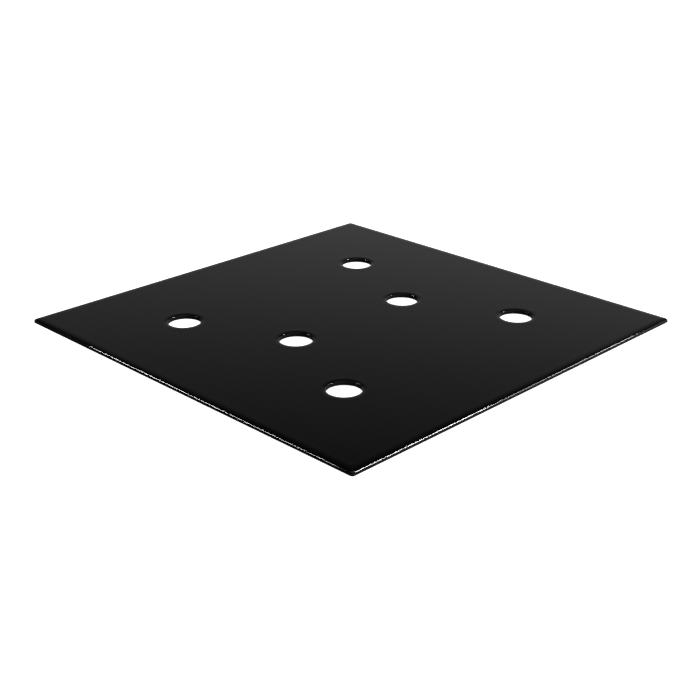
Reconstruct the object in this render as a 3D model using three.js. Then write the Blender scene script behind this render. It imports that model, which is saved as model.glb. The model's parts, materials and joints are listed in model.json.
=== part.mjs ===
// Fence post cap plate: one flat square steel plate with six round through-holes and a
// black powder coat. The coat rounds every edge, round the outside and at each hole's rim.
//
// Millimetres. The plate lies flat, centred on the Z axis, with its underside on z = 0 and
// +Z up through its thickness. The holes are two triangles of three, mirrored across x = 0:
// each has two outer holes and one inner hole, which stands on the X axis nearer the centre.

import * as THREE from 'three';

// Plate
const PLATE_SIDE = 304.8;
const PLATE_THICKNESS = 3.2;
const CORNER_RADIUS = 2.0;
const EDGE_ROUNDING = 1.4;

// Holes: one diameter, and centre-to-centre distances across the plate's middle
const HOLE_DIAMETER = 22.2;
const OUTER_PITCH_X = 165.1;
const OUTER_PITCH_Y = 152.4;
const INNER_PITCH_X = 101.6;

// Facets
const CORNER_STEPS = 8;
const HOLE_STEPS = 48;
const ROUNDING_STEPS = 3;

// Powder coat
const COAT_COLOUR = 0x060607;
const COAT_ROUGHNESS = 0.22;
const COAT_METALNESS = 0.0;

const FULL_TURN = 2 * Math.PI;
const QUARTER_TURN = FULL_TURN / 4;

// Point on a circle about (centreX, centreY).
function circlePoint(centreX, centreY, radius, angle) {
  const x = centreX + radius * Math.cos(angle);
  const y = centreY + radius * Math.sin(angle);
  return new THREE.Vector2(x, y);
}

// Square outline, anticlockwise, with a round corner in each quadrant.
function plateOutline() {
  const centreOffset = PLATE_SIDE / 2 - CORNER_RADIUS;
  const points = [];
  for (let corner = 0; corner < 4; corner += 1) {
    const start = corner * QUARTER_TURN;
    const centreX = centreOffset * (corner === 0 || corner === 3 ? 1 : -1);
    const centreY = centreOffset * (corner < 2 ? 1 : -1);
    for (let step = 0; step <= CORNER_STEPS; step += 1) {
      const angle = start + (step / CORNER_STEPS) * QUARTER_TURN;
      points.push(circlePoint(centreX, centreY, CORNER_RADIUS, angle));
    }
  }
  return points;
}

// Round hole outline, clockwise as a hole is.
function holeOutline(centreX, centreY) {
  const points = [];
  for (let step = 0; step < HOLE_STEPS; step += 1) {
    const angle = -(step / HOLE_STEPS) * FULL_TURN;
    points.push(circlePoint(centreX, centreY, HOLE_DIAMETER / 2, angle));
  }
  return points;
}

// Centres of the six holes: one triangle on each side of x = 0.
function holeCentres() {
  const centres = [];
  for (const side of [-1, 1]) {
    centres.push([(side * OUTER_PITCH_X) / 2, -OUTER_PITCH_Y / 2]);
    centres.push([(side * OUTER_PITCH_X) / 2, OUTER_PITCH_Y / 2]);
    centres.push([(side * INNER_PITCH_X) / 2, 0]);
  }
  return centres;
}

// The plate is extruded between its two roundings, which add their own height at each face.
function plateGeometry() {
  const rounding = Math.min(EDGE_ROUNDING, 0.45 * PLATE_THICKNESS);
  const shape = new THREE.Shape(plateOutline());
  for (const [x, y] of holeCentres()) {
    shape.holes.push(new THREE.Path(holeOutline(x, y)));
  }
  const geometry = new THREE.ExtrudeGeometry(shape, {
    depth: PLATE_THICKNESS - 2 * rounding,
    steps: 1,
    bevelEnabled: true,
    bevelThickness: rounding,
    bevelSize: rounding,
    bevelOffset: -rounding,
    bevelSegments: ROUNDING_STEPS,
  });
  geometry.translate(0, 0, rounding);
  return geometry;
}

function coatMaterial() {
  return new THREE.MeshStandardMaterial({
    color: COAT_COLOUR,
    roughness: COAT_ROUGHNESS,
    metalness: COAT_METALNESS,
  });
}

const part = new THREE.Group();
part.name = 'fence_post_cap';

const capPlate = new THREE.Mesh(plateGeometry(), coatMaterial());
capPlate.name = 'cap_plate';
part.add(capPlate);

export default part;
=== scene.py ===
"""Fence post cap plate: a flat square steel plate with six round holes and a gloss black coat.

Laid out as a Blender add-on and run as a script. Everything is in metres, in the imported
part's own frame: the plate lies on z = 0, centred on the Z axis. Its outline, thickness and
holes come from the frame. The powder coat is modelled as it sets on steel: it pulls back
round every sharp edge and gathers in a low bead just inside the edge, round the outside and
round each hole.
"""

import json
import math

import bmesh
import bpy
from bpy.props import FloatProperty, FloatVectorProperty, IntProperty, PointerProperty
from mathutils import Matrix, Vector


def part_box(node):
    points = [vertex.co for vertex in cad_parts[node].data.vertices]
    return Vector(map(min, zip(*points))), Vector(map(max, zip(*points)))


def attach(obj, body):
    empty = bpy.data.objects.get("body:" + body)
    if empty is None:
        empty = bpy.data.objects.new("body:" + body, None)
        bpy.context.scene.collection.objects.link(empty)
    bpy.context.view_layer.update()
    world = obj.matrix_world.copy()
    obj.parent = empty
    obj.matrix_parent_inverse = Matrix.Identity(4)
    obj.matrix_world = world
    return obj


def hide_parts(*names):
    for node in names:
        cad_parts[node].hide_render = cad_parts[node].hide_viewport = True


bl_info = {
    "name": "Cap Plate",
    "version": (1, 0, 0),
    "blender": (4, 5, 0),
    "location": "View3D > Sidebar > Cap Plate",
    "description": "Models a powder-coated fence post cap plate and its studio",
    "category": "Mesh",
}

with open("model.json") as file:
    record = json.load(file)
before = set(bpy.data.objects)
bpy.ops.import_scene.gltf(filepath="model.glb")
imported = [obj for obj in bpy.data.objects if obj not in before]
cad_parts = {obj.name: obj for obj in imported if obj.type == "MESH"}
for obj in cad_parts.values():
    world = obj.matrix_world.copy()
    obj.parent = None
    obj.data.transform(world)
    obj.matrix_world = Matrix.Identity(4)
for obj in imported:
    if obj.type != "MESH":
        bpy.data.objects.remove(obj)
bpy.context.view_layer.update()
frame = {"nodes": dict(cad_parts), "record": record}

MM = 0.001
PLATE_NODE = "cap_plate"

# Points closer together than this are one point.
SAME_PLACE = 0.001 * MM

# Steps along each stretch of a rim's section
BEAD_STEPS = 8
SHOULDER_STEPS = 8
ROUND_STEPS = 12

# The shoulder's slope grows with this power of the way along it.
SHOULDER_POWER = 2.0

# Level strip between the bead and the flat face, so that the face shades flat
LEVEL_STRIP = 0.5 * MM

# Fineness of the noise in the orange peel and in the patches of duller, paler coat
PEEL_DETAIL = 2.0
PATCH_DETAIL = 3.0

# Patches: width in ripples of orange peel, the part of the noise's range that changes the
# gloss, how much rougher they are, and how many times paler
PATCH_RIPPLES = 28
PATCH_NOISE_LOW = 0.3
PATCH_NOISE_HIGH = 0.7
PATCH_ROUGHER = 0.025
PATCH_PALER = 1.5

# Softboxes: name, the setting with its power, place, the point that it faces, and width
SOFTBOXES = (
    ("right_softbox", "right_light", (0.67, -0.75, 0.68), (0.0, -0.15, 0.0), 0.32),
    ("far_right_softbox", "far_right_light", (0.93, -0.66, 0.60), (0.0, -0.15, 0.0), 0.42),
    ("left_softbox", "left_light", (-0.86, 0.89, 0.62), (-0.15, 0.0, 0.0), 0.60),
)
SOFTBOX_HEIGHT = 0.05

# Grey of the surroundings, by the sine of the angle above the horizon
SKY_GREYS = (
    (-1.0, 0.10), (-0.05, 0.10),
    (0.0, 0.8), (0.15, 0.40), (0.30, 0.24), (0.41, 0.110),
    (0.50, 0.035), (0.62, 0.008), (0.82, 0.02),
    (0.94, 0.4), (1.0, 0.5),
)

# Strength of those greys, and how much stronger they are towards each axis
SKY_STRENGTH = 0.97
SKY_SIDE_GAIN = (0.62, -0.62, 0.0)

WHITE = (1.0, 1.0, 1.0, 1.0)
FLOOR_GREY = 0.9
DOME_SUBDIVISIONS = 4

# Camera: it looks down over the plate's front corner, and aims at a point near the centre
# of the upper face.
CAMERA_AZIMUTH = math.radians(45.127)
CAMERA_PITCH = math.radians(23.334)
CAMERA_DISTANCE = 0.8050
CAMERA_AIM_FORWARD = -0.0542
CAMERA_AIM_RIGHT = -0.00075
CAMERA_LENS = 64.9
CAMERA_SENSOR = 36.0


# Sizes from the frame

def plate_box():
    """Lowest and highest corner of the plate."""
    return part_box(PLATE_NODE)


def hole_centres():
    """Centre of each hole, from the opening stated for it."""
    openings = frame["record"]["physics"]["openings"]
    boxes = [opening["box_m"] for opening in openings]
    return [((low[0] + high[0]) / 2, (low[1] + high[1]) / 2) for low, high in boxes]


def bore_radius(centre):
    """Radius of the hole at this centre: the distance to the node's nearest point."""
    points = frame["nodes"][PLATE_NODE].data.vertices
    return min(math.hypot(p.co.x - centre[0], p.co.y - centre[1]) for p in points)


# Settings

class CAPPLATE_PG_plate(bpy.types.PropertyGroup):
    """Sizes of the coated plate's rims."""

    corner_radius: FloatProperty(
        name="Corner radius",
        description="Radius of the plate's four corners in plan",
        default=2.0 * MM, min=0.5 * MM, unit="LENGTH", precision=4,
    )
    edge_round: FloatProperty(
        name="Edge rounding",
        description="Radius of the coat round the plate's upper edge",
        default=1.4 * MM, min=0.1 * MM, unit="LENGTH", precision=4,
    )
    edge_shoulder: FloatProperty(
        name="Edge shoulder",
        description="How far in from the edge the coat starts to fall",
        default=6.0 * MM, min=0.2 * MM, unit="LENGTH", precision=4,
    )
    edge_slope: FloatProperty(
        name="Edge slope",
        description="Slope of the edge's shoulder where it meets the rounding",
        default=0.15, min=0.0, max=0.5,
    )
    hole_round: FloatProperty(
        name="Hole rounding",
        description="Radius of the coat round a hole's upper rim",
        default=0.6 * MM, min=0.1 * MM, unit="LENGTH", precision=4,
    )
    hole_shoulder: FloatProperty(
        name="Hole shoulder",
        description="How far out from a hole's wall the coat starts to fall",
        default=4.2 * MM, min=0.2 * MM, unit="LENGTH", precision=4,
    )
    hole_slope: FloatProperty(
        name="Hole slope",
        description="Slope of a hole's shoulder where it meets the rounding",
        default=0.16, min=0.0, max=0.5,
    )
    under_share: FloatProperty(
        name="Underside share",
        description="Size of the underside's rounding and shoulder against the upper ones",
        default=0.6, min=0.1, max=1.0, subtype="FACTOR",
    )
    bead_width: FloatProperty(
        name="Bead width",
        description="Width of the low bead just inside the shoulder",
        default=3.0 * MM, min=0.5 * MM, unit="LENGTH", precision=4,
    )
    bead_height: FloatProperty(
        name="Bead height",
        description="How far the bead stands above the flat coat",
        default=0.01 * MM, min=0.0, unit="LENGTH", precision=5,
    )
    corner_segments: IntProperty(
        name="Corner segments",
        description="Facets round each corner",
        default=16, min=3,
    )
    hole_segments: IntProperty(
        name="Hole segments",
        description="Facets round each hole",
        default=128, min=24,
    )


class CAPPLATE_PG_coat(bpy.types.PropertyGroup):
    """Look of the powder coat."""

    colour: FloatVectorProperty(
        name="Colour",
        description="Colour of the coat where it is darkest",
        subtype="COLOR", size=3, default=(0.0012, 0.0012, 0.0013), min=0.0, max=1.0,
    )
    roughness: FloatProperty(
        name="Roughness",
        description="Roughness of the coat where it is smoothest",
        default=0.05, min=0.0, max=1.0, subtype="FACTOR",
    )
    peel_size: FloatProperty(
        name="Orange peel size",
        description="Width of one ripple of the coat's orange peel",
        default=1.6 * MM, min=0.1 * MM, unit="LENGTH", precision=4,
    )
    peel_height: FloatProperty(
        name="Orange peel height",
        description="Height of the orange peel",
        default=0.0012 * MM, min=0.0, unit="LENGTH", precision=7,
    )


class CAPPLATE_PG_stage(bpy.types.PropertyGroup):
    """Studio round the plate."""

    floor_size: FloatProperty(
        name="Floor size",
        description="Side of the square floor",
        default=30.0, min=1.0, unit="LENGTH",
    )
    floor_glow: FloatProperty(
        name="Floor glow",
        description="Light that the floor and the backdrop give of themselves",
        default=1.0, min=0.0,
    )
    left_light: FloatProperty(
        name="Left light",
        description="Power of the left softbox",
        default=10.0, min=0.0, unit="POWER",
    )
    right_light: FloatProperty(
        name="Right light",
        description="Power of the right softbox",
        default=10.5, min=0.0, unit="POWER",
    )
    far_right_light: FloatProperty(
        name="Far right light",
        description="Power of the far right softbox",
        default=3.4, min=0.0, unit="POWER",
    )


# Modelling helpers

def deselect_objects():
    """Deselect everything, so that the next operator works on its own piece alone."""
    for obj in bpy.context.selected_objects:
        obj.select_set(False)


def half_rim(settings, radius, shoulder, slope):
    """Half of a rim's section, from the flat face to the wall.

    Each point is its distance in from the wall and its drop below the top of the bead.
    """
    bead_start = shoulder + settings.bead_width
    points = [(bead_start + LEVEL_STRIP, settings.bead_height)]
    for step in range(BEAD_STEPS):
        share = step / BEAD_STEPS
        inset = shoulder + (1 - share) * settings.bead_width
        points.append((inset, settings.bead_height * (1 + math.cos(math.pi * share)) / 2))

    first_angle = math.atan(slope)
    reach = shoulder - radius * (1 - math.sin(first_angle))
    shoulder_drop = slope * reach / (SHOULDER_POWER + 1)
    for step in range(SHOULDER_STEPS):
        share = step / SHOULDER_STEPS
        drop = shoulder_drop * share ** (SHOULDER_POWER + 1)
        points.append((shoulder - share * reach, drop))

    turn = math.radians(90) - first_angle
    for step in range(ROUND_STEPS + 1):
        angle = first_angle + turn * step / ROUND_STEPS
        drop = shoulder_drop + radius * (math.cos(first_angle) - math.cos(angle))
        points.append((radius * (1 - math.sin(angle)), drop))
    return points


def rim_profile(settings, radius, shoulder, slope, bottom, top):
    """Section of a rim, from the upper flat to the lower flat.

    Each point is its distance in from the wall and its height.
    """
    share = settings.under_share
    upper = half_rim(settings, radius, shoulder, slope)
    lower = half_rim(settings, share * radius, share * shoulder, slope)
    above = [(inset, top - drop) for inset, drop in upper]
    below = [(inset, bottom + drop) for inset, drop in reversed(lower)]
    return above + below


def select_edges(plate, wanted):
    """In edit mode, select the edges for which wanted(edge) is true, and nothing else."""
    bpy.ops.mesh.select_mode(type="EDGE")
    bpy.ops.mesh.select_all(action="DESELECT")
    mesh = bmesh.from_edit_mesh(plate.data)
    for edge in mesh.edges:
        edge.select_set(wanted(edge))
    bmesh.update_edit_mesh(plate.data)


def sweep_rim(plate, centre, half_sizes, heights):
    """Extrude the new loop of edges through each half size and height in turn."""
    select_edges(plate, lambda edge: edge.is_wire)
    steps = zip(half_sizes, half_sizes[1:], heights, heights[1:])
    for half_size, next_half_size, height, next_height in steps:
        rise = (0.0, 0.0, next_height - height)
        bpy.ops.mesh.extrude_edges_move(TRANSFORM_OT_translate={"value": rise})
        scale = next_half_size / half_size
        pivot = (centre[0], centre[1], next_height)
        bpy.ops.transform.resize(value=(scale, scale, 1.0), center_override=pivot)


def sweep_outer_rim(plate, settings, half_side, profile):
    """Round the plate's outside: a square loop with rounded corners, swept down its section."""
    half_sizes = [half_side - inset for inset, _ in profile]
    heights = [height for _, height in profile]
    bpy.ops.mesh.primitive_plane_add(size=2 * half_sizes[0], location=(0.0, 0.0, heights[0]))
    # The corners grow with the loop, and have their full radius at the wall.
    bpy.ops.mesh.bevel(
        offset=settings.corner_radius * half_sizes[0] / half_side,
        segments=settings.corner_segments, affect="VERTICES",
    )
    bpy.ops.mesh.select_all(action="SELECT")
    bpy.ops.mesh.delete(type="ONLY_FACE")
    sweep_rim(plate, (0.0, 0.0), half_sizes, heights)


def sweep_hole_rim(plate, settings, centre, radius, profile):
    """Round one hole: a circle, swept down its section."""
    half_sizes = [radius + inset for inset, _ in profile]
    heights = [height for _, height in profile]
    bpy.ops.mesh.primitive_circle_add(
        vertices=settings.hole_segments, radius=half_sizes[0], fill_type="NOTHING",
        location=(centre[0], centre[1], heights[0]),
    )
    sweep_rim(plate, centre, half_sizes, heights)


def fill_flat(plate, height):
    """Close the flat face between the open loops of edges at this height."""
    def open_here(edge):
        level = all(abs(vertex.co.z - height) < SAME_PLACE for vertex in edge.verts)
        return edge.is_boundary and level

    select_edges(plate, open_here)
    bpy.ops.mesh.fill(use_beauty=True)


# Materials

def new_material(name):
    """A new node material and its shader."""
    material = bpy.data.materials.new(name)
    material.use_nodes = True
    return material, material.node_tree.nodes["Principled BSDF"]


def add_node(tree, kind, **values):
    """Add a node and set the named inputs or settings on it."""
    node = tree.nodes.new(kind)
    for key, value in values.items():
        if key in node.inputs:
            node.inputs[key].default_value = value
        else:
            setattr(node, key, value)
    return node


def noise(tree, coordinates, ripple, detail):
    """Noise whose ripples are this wide."""
    node = add_node(tree, "ShaderNodeTexNoise", Scale=1.0 / ripple, Detail=detail, Roughness=0.5)
    tree.links.new(coordinates.outputs["Object"], node.inputs["Vector"])
    return node


def map_range(tree, value, from_range, to_range):
    """Map a value from one range to another, and hold it inside."""
    node = add_node(tree, "ShaderNodeMapRange")
    node.inputs["From Min"].default_value, node.inputs["From Max"].default_value = from_range
    node.inputs["To Min"].default_value, node.inputs["To Max"].default_value = to_range
    tree.links.new(value, node.inputs["Value"])
    return node


def coat_material(look):
    """Gloss black powder coat with faint orange peel, in patches that differ a little."""
    material, shader = new_material("powder_coat_gloss_black")
    tree = material.node_tree
    coordinates = add_node(tree, "ShaderNodeTexCoord")
    peel = noise(tree, coordinates, look.peel_size, PEEL_DETAIL)
    patches = noise(tree, coordinates, PATCH_RIPPLES * look.peel_size, PATCH_DETAIL)

    patch_range = (PATCH_NOISE_LOW, PATCH_NOISE_HIGH)
    roughness_range = (look.roughness, look.roughness + PATCH_ROUGHER)
    gloss = map_range(tree, patches.outputs["Fac"], patch_range, roughness_range)
    tree.links.new(gloss.outputs["Result"], shader.inputs["Roughness"])

    tint = add_node(tree, "ShaderNodeMix", data_type="RGBA")
    tint.inputs["A"].default_value = (*look.colour, 1.0)
    tint.inputs["B"].default_value = (*[PATCH_PALER * channel for channel in look.colour], 1.0)
    tree.links.new(patches.outputs["Fac"], tint.inputs["Factor"])
    tree.links.new(tint.outputs["Result"], shader.inputs["Base Color"])

    bump = add_node(tree, "ShaderNodeBump", Strength=1.0, Distance=look.peel_height)
    tree.links.new(peel.outputs["Fac"], bump.inputs["Height"])
    tree.links.new(bump.outputs["Normal"], shader.inputs["Normal"])
    return material


def glowing_material(name, grey, glow):
    """Matt grey that gives white light of itself, for the stage."""
    material, shader = new_material(name)
    shader.inputs["Base Color"].default_value = (grey, grey, grey, 1.0)
    shader.inputs["Roughness"].default_value = 1.0
    shader.inputs["Specular IOR Level"].default_value = 0.0
    shader.inputs["Emission Color"].default_value = WHITE
    shader.inputs["Emission Strength"].default_value = glow
    return material


# Plate

class CAPPLATE_OT_model_plate(bpy.types.Operator):
    """Model the coated plate: rims, flat faces and powder coat"""

    bl_idname = "capplate.model_plate"
    bl_label = "Model Plate"

    def execute(self, context):
        settings = context.scene.cap_plate
        low, high = plate_box()
        edge_sizes = (settings.edge_round, settings.edge_shoulder, settings.edge_slope)
        hole_sizes = (settings.hole_round, settings.hole_shoulder, settings.hole_slope)
        edge_profile = rim_profile(settings, *edge_sizes, low.z, high.z)
        hole_profile = rim_profile(settings, *hole_sizes, low.z, high.z)

        deselect_objects()
        bpy.ops.mesh.primitive_plane_add(size=1.0)
        plate = context.object
        plate.name = "coated_plate"
        plate.data.name = "coated_plate"
        bpy.ops.object.mode_set(mode="EDIT")
        bpy.ops.mesh.delete(type="VERT")
        sweep_outer_rim(plate, settings, high.x, edge_profile)
        for centre in hole_centres():
            sweep_hole_rim(plate, settings, centre, bore_radius(centre), hole_profile)
        for _, height in (edge_profile[0], edge_profile[-1]):
            fill_flat(plate, height)
        bpy.ops.mesh.select_all(action="SELECT")
        bpy.ops.mesh.remove_doubles(threshold=SAME_PLACE)
        bpy.ops.mesh.normals_make_consistent(inside=False)
        bpy.ops.object.mode_set(mode="OBJECT")
        bpy.ops.object.shade_smooth()

        plate.data.materials.clear()
        plate.data.materials.append(coat_material(context.scene.cap_plate_coat))
        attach(plate, "root")
        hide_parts(PLATE_NODE)
        return {"FINISHED"}


# Stage

def add_floor(settings):
    """Plain pale floor that the plate lies on."""
    deselect_objects()
    bpy.ops.mesh.primitive_plane_add(size=settings.floor_size, location=(0.0, 0.0, 0.0))
    floor = bpy.context.object
    floor.name = "floor"
    floor.data.materials.append(glowing_material("pale_floor", FLOOR_GREY, settings.floor_glow))
    floor.visible_glossy = False


def add_backdrop(settings):
    """Pale dome behind everything, which lights nothing and shows in no reflection."""
    deselect_objects()
    bpy.ops.mesh.primitive_ico_sphere_add(
        subdivisions=DOME_SUBDIVISIONS, radius=settings.floor_size / 2, location=(0.0, 0.0, 0.0),
    )
    dome = bpy.context.object
    dome.name = "backdrop"
    dome.data.materials.append(glowing_material("pale_backdrop", 0.0, settings.floor_glow))
    dome.visible_glossy = False
    dome.visible_diffuse = False
    dome.visible_shadow = False


def add_softbox(name, place, target, width, power):
    """Wide, low rectangular light at a place, turned towards a target."""
    bpy.ops.object.light_add(type="AREA", location=place)
    light = bpy.context.object
    light.name = name
    light.rotation_euler = (Vector(target) - Vector(place)).to_track_quat("-Z", "Y").to_euler()
    light.data.shape = "RECTANGLE"
    light.data.size = width
    light.data.size_y = SOFTBOX_HEIGHT
    light.data.energy = power
    light.visible_camera = False


def set_sky(scene):
    """Dim studio: light low down and overhead, dark between, and lighter to the right."""
    world = bpy.data.worlds.new("studio")
    scene.world = world
    world.use_nodes = True
    tree = world.node_tree
    background = tree.nodes["Background"]
    coordinates = add_node(tree, "ShaderNodeTexCoord")
    split = add_node(tree, "ShaderNodeSeparateXYZ")
    tree.links.new(coordinates.outputs["Generated"], split.inputs["Vector"])

    height = map_range(tree, split.outputs["Z"], (-1.0, 1.0), (0.0, 1.0))
    ramp = add_node(tree, "ShaderNodeValToRGB")
    ramp.color_ramp.interpolation = "LINEAR"
    elements = ramp.color_ramp.elements
    while len(elements) < len(SKY_GREYS):
        elements.new(0.5)
    for element, (sine, grey) in zip(elements, SKY_GREYS):
        element.position = (sine + 1) / 2
        element.color = (grey, grey, grey, 1.0)
    tree.links.new(height.outputs["Result"], ramp.inputs["Fac"])

    side = add_node(tree, "ShaderNodeVectorMath", operation="DOT_PRODUCT")
    side.inputs[1].default_value = SKY_SIDE_GAIN
    tree.links.new(coordinates.outputs["Generated"], side.inputs[0])
    strength = add_node(tree, "ShaderNodeMath", operation="ADD")
    strength.inputs[1].default_value = SKY_STRENGTH
    tree.links.new(side.outputs["Value"], strength.inputs[0])
    tree.links.new(ramp.outputs["Color"], background.inputs["Color"])
    tree.links.new(strength.outputs["Value"], background.inputs["Strength"])


def add_camera(scene):
    """Camera that looks down over one corner of the plate."""
    _, high = plate_box()
    up = Vector((0.0, 0.0, 1.0))
    forward = Vector((math.sin(CAMERA_AZIMUTH), math.cos(CAMERA_AZIMUTH), 0.0))
    right = Vector((math.cos(CAMERA_AZIMUTH), -math.sin(CAMERA_AZIMUTH), 0.0))
    aim = CAMERA_AIM_FORWARD * forward + CAMERA_AIM_RIGHT * right + high.z * up
    back = CAMERA_DISTANCE * math.cos(CAMERA_PITCH)
    rise = CAMERA_DISTANCE * math.sin(CAMERA_PITCH)
    bpy.ops.object.camera_add(
        location=aim - back * forward + rise * up,
        rotation=(math.radians(90) - CAMERA_PITCH, 0.0, -CAMERA_AZIMUTH),
    )
    camera = bpy.context.object
    camera.name = "camera"
    camera.data.sensor_width = CAMERA_SENSOR
    camera.data.lens = CAMERA_LENS
    scene.camera = camera


class CAPPLATE_OT_set_stage(bpy.types.Operator):
    """Set the studio: floor, backdrop, softboxes, surroundings and camera"""

    bl_idname = "capplate.set_stage"
    bl_label = "Set Stage"

    def execute(self, context):
        scene = context.scene
        settings = scene.cap_plate_stage
        add_floor(settings)
        set_sky(scene)
        add_backdrop(settings)
        for name, power_setting, place, target, width in SOFTBOXES:
            add_softbox(name, place, target, width, getattr(settings, power_setting))
        add_camera(scene)
        scene.view_settings.view_transform = "Standard"
        scene.view_settings.look = "None"
        return {"FINISHED"}


# Sidebar and registration

class CAPPLATE_PT_sidebar(bpy.types.Panel):
    """Lists the plate's steps and settings"""

    bl_label = "Cap Plate"
    bl_space_type = "VIEW_3D"
    bl_region_type = "UI"
    bl_category = "Cap Plate"

    def draw(self, context):
        scene = context.scene
        for operator in OPERATORS:
            self.layout.operator(operator.bl_idname)
        for group in (scene.cap_plate, scene.cap_plate_coat, scene.cap_plate_stage):
            for name in group.bl_rna.properties.keys():
                if name not in ("rna_type", "name"):
                    self.layout.prop(group, name)


OPERATORS = (CAPPLATE_OT_model_plate, CAPPLATE_OT_set_stage)
GROUPS = (CAPPLATE_PG_plate, CAPPLATE_PG_coat, CAPPLATE_PG_stage)
CLASSES = (*GROUPS, *OPERATORS, CAPPLATE_PT_sidebar)


def register():
    """Register the classes and hang the settings on the scene."""
    for cls in CLASSES:
        bpy.utils.register_class(cls)
    bpy.types.Scene.cap_plate = PointerProperty(type=CAPPLATE_PG_plate)
    bpy.types.Scene.cap_plate_coat = PointerProperty(type=CAPPLATE_PG_coat)
    bpy.types.Scene.cap_plate_stage = PointerProperty(type=CAPPLATE_PG_stage)


def unregister():
    """Undo register()."""
    del bpy.types.Scene.cap_plate_stage
    del bpy.types.Scene.cap_plate_coat
    del bpy.types.Scene.cap_plate
    for cls in reversed(CLASSES):
        bpy.utils.unregister_class(cls)


def main():
    """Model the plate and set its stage."""
    register()
    bpy.ops.capplate.model_plate()
    bpy.ops.capplate.set_stage()


if __name__ == "__main__":
    main()
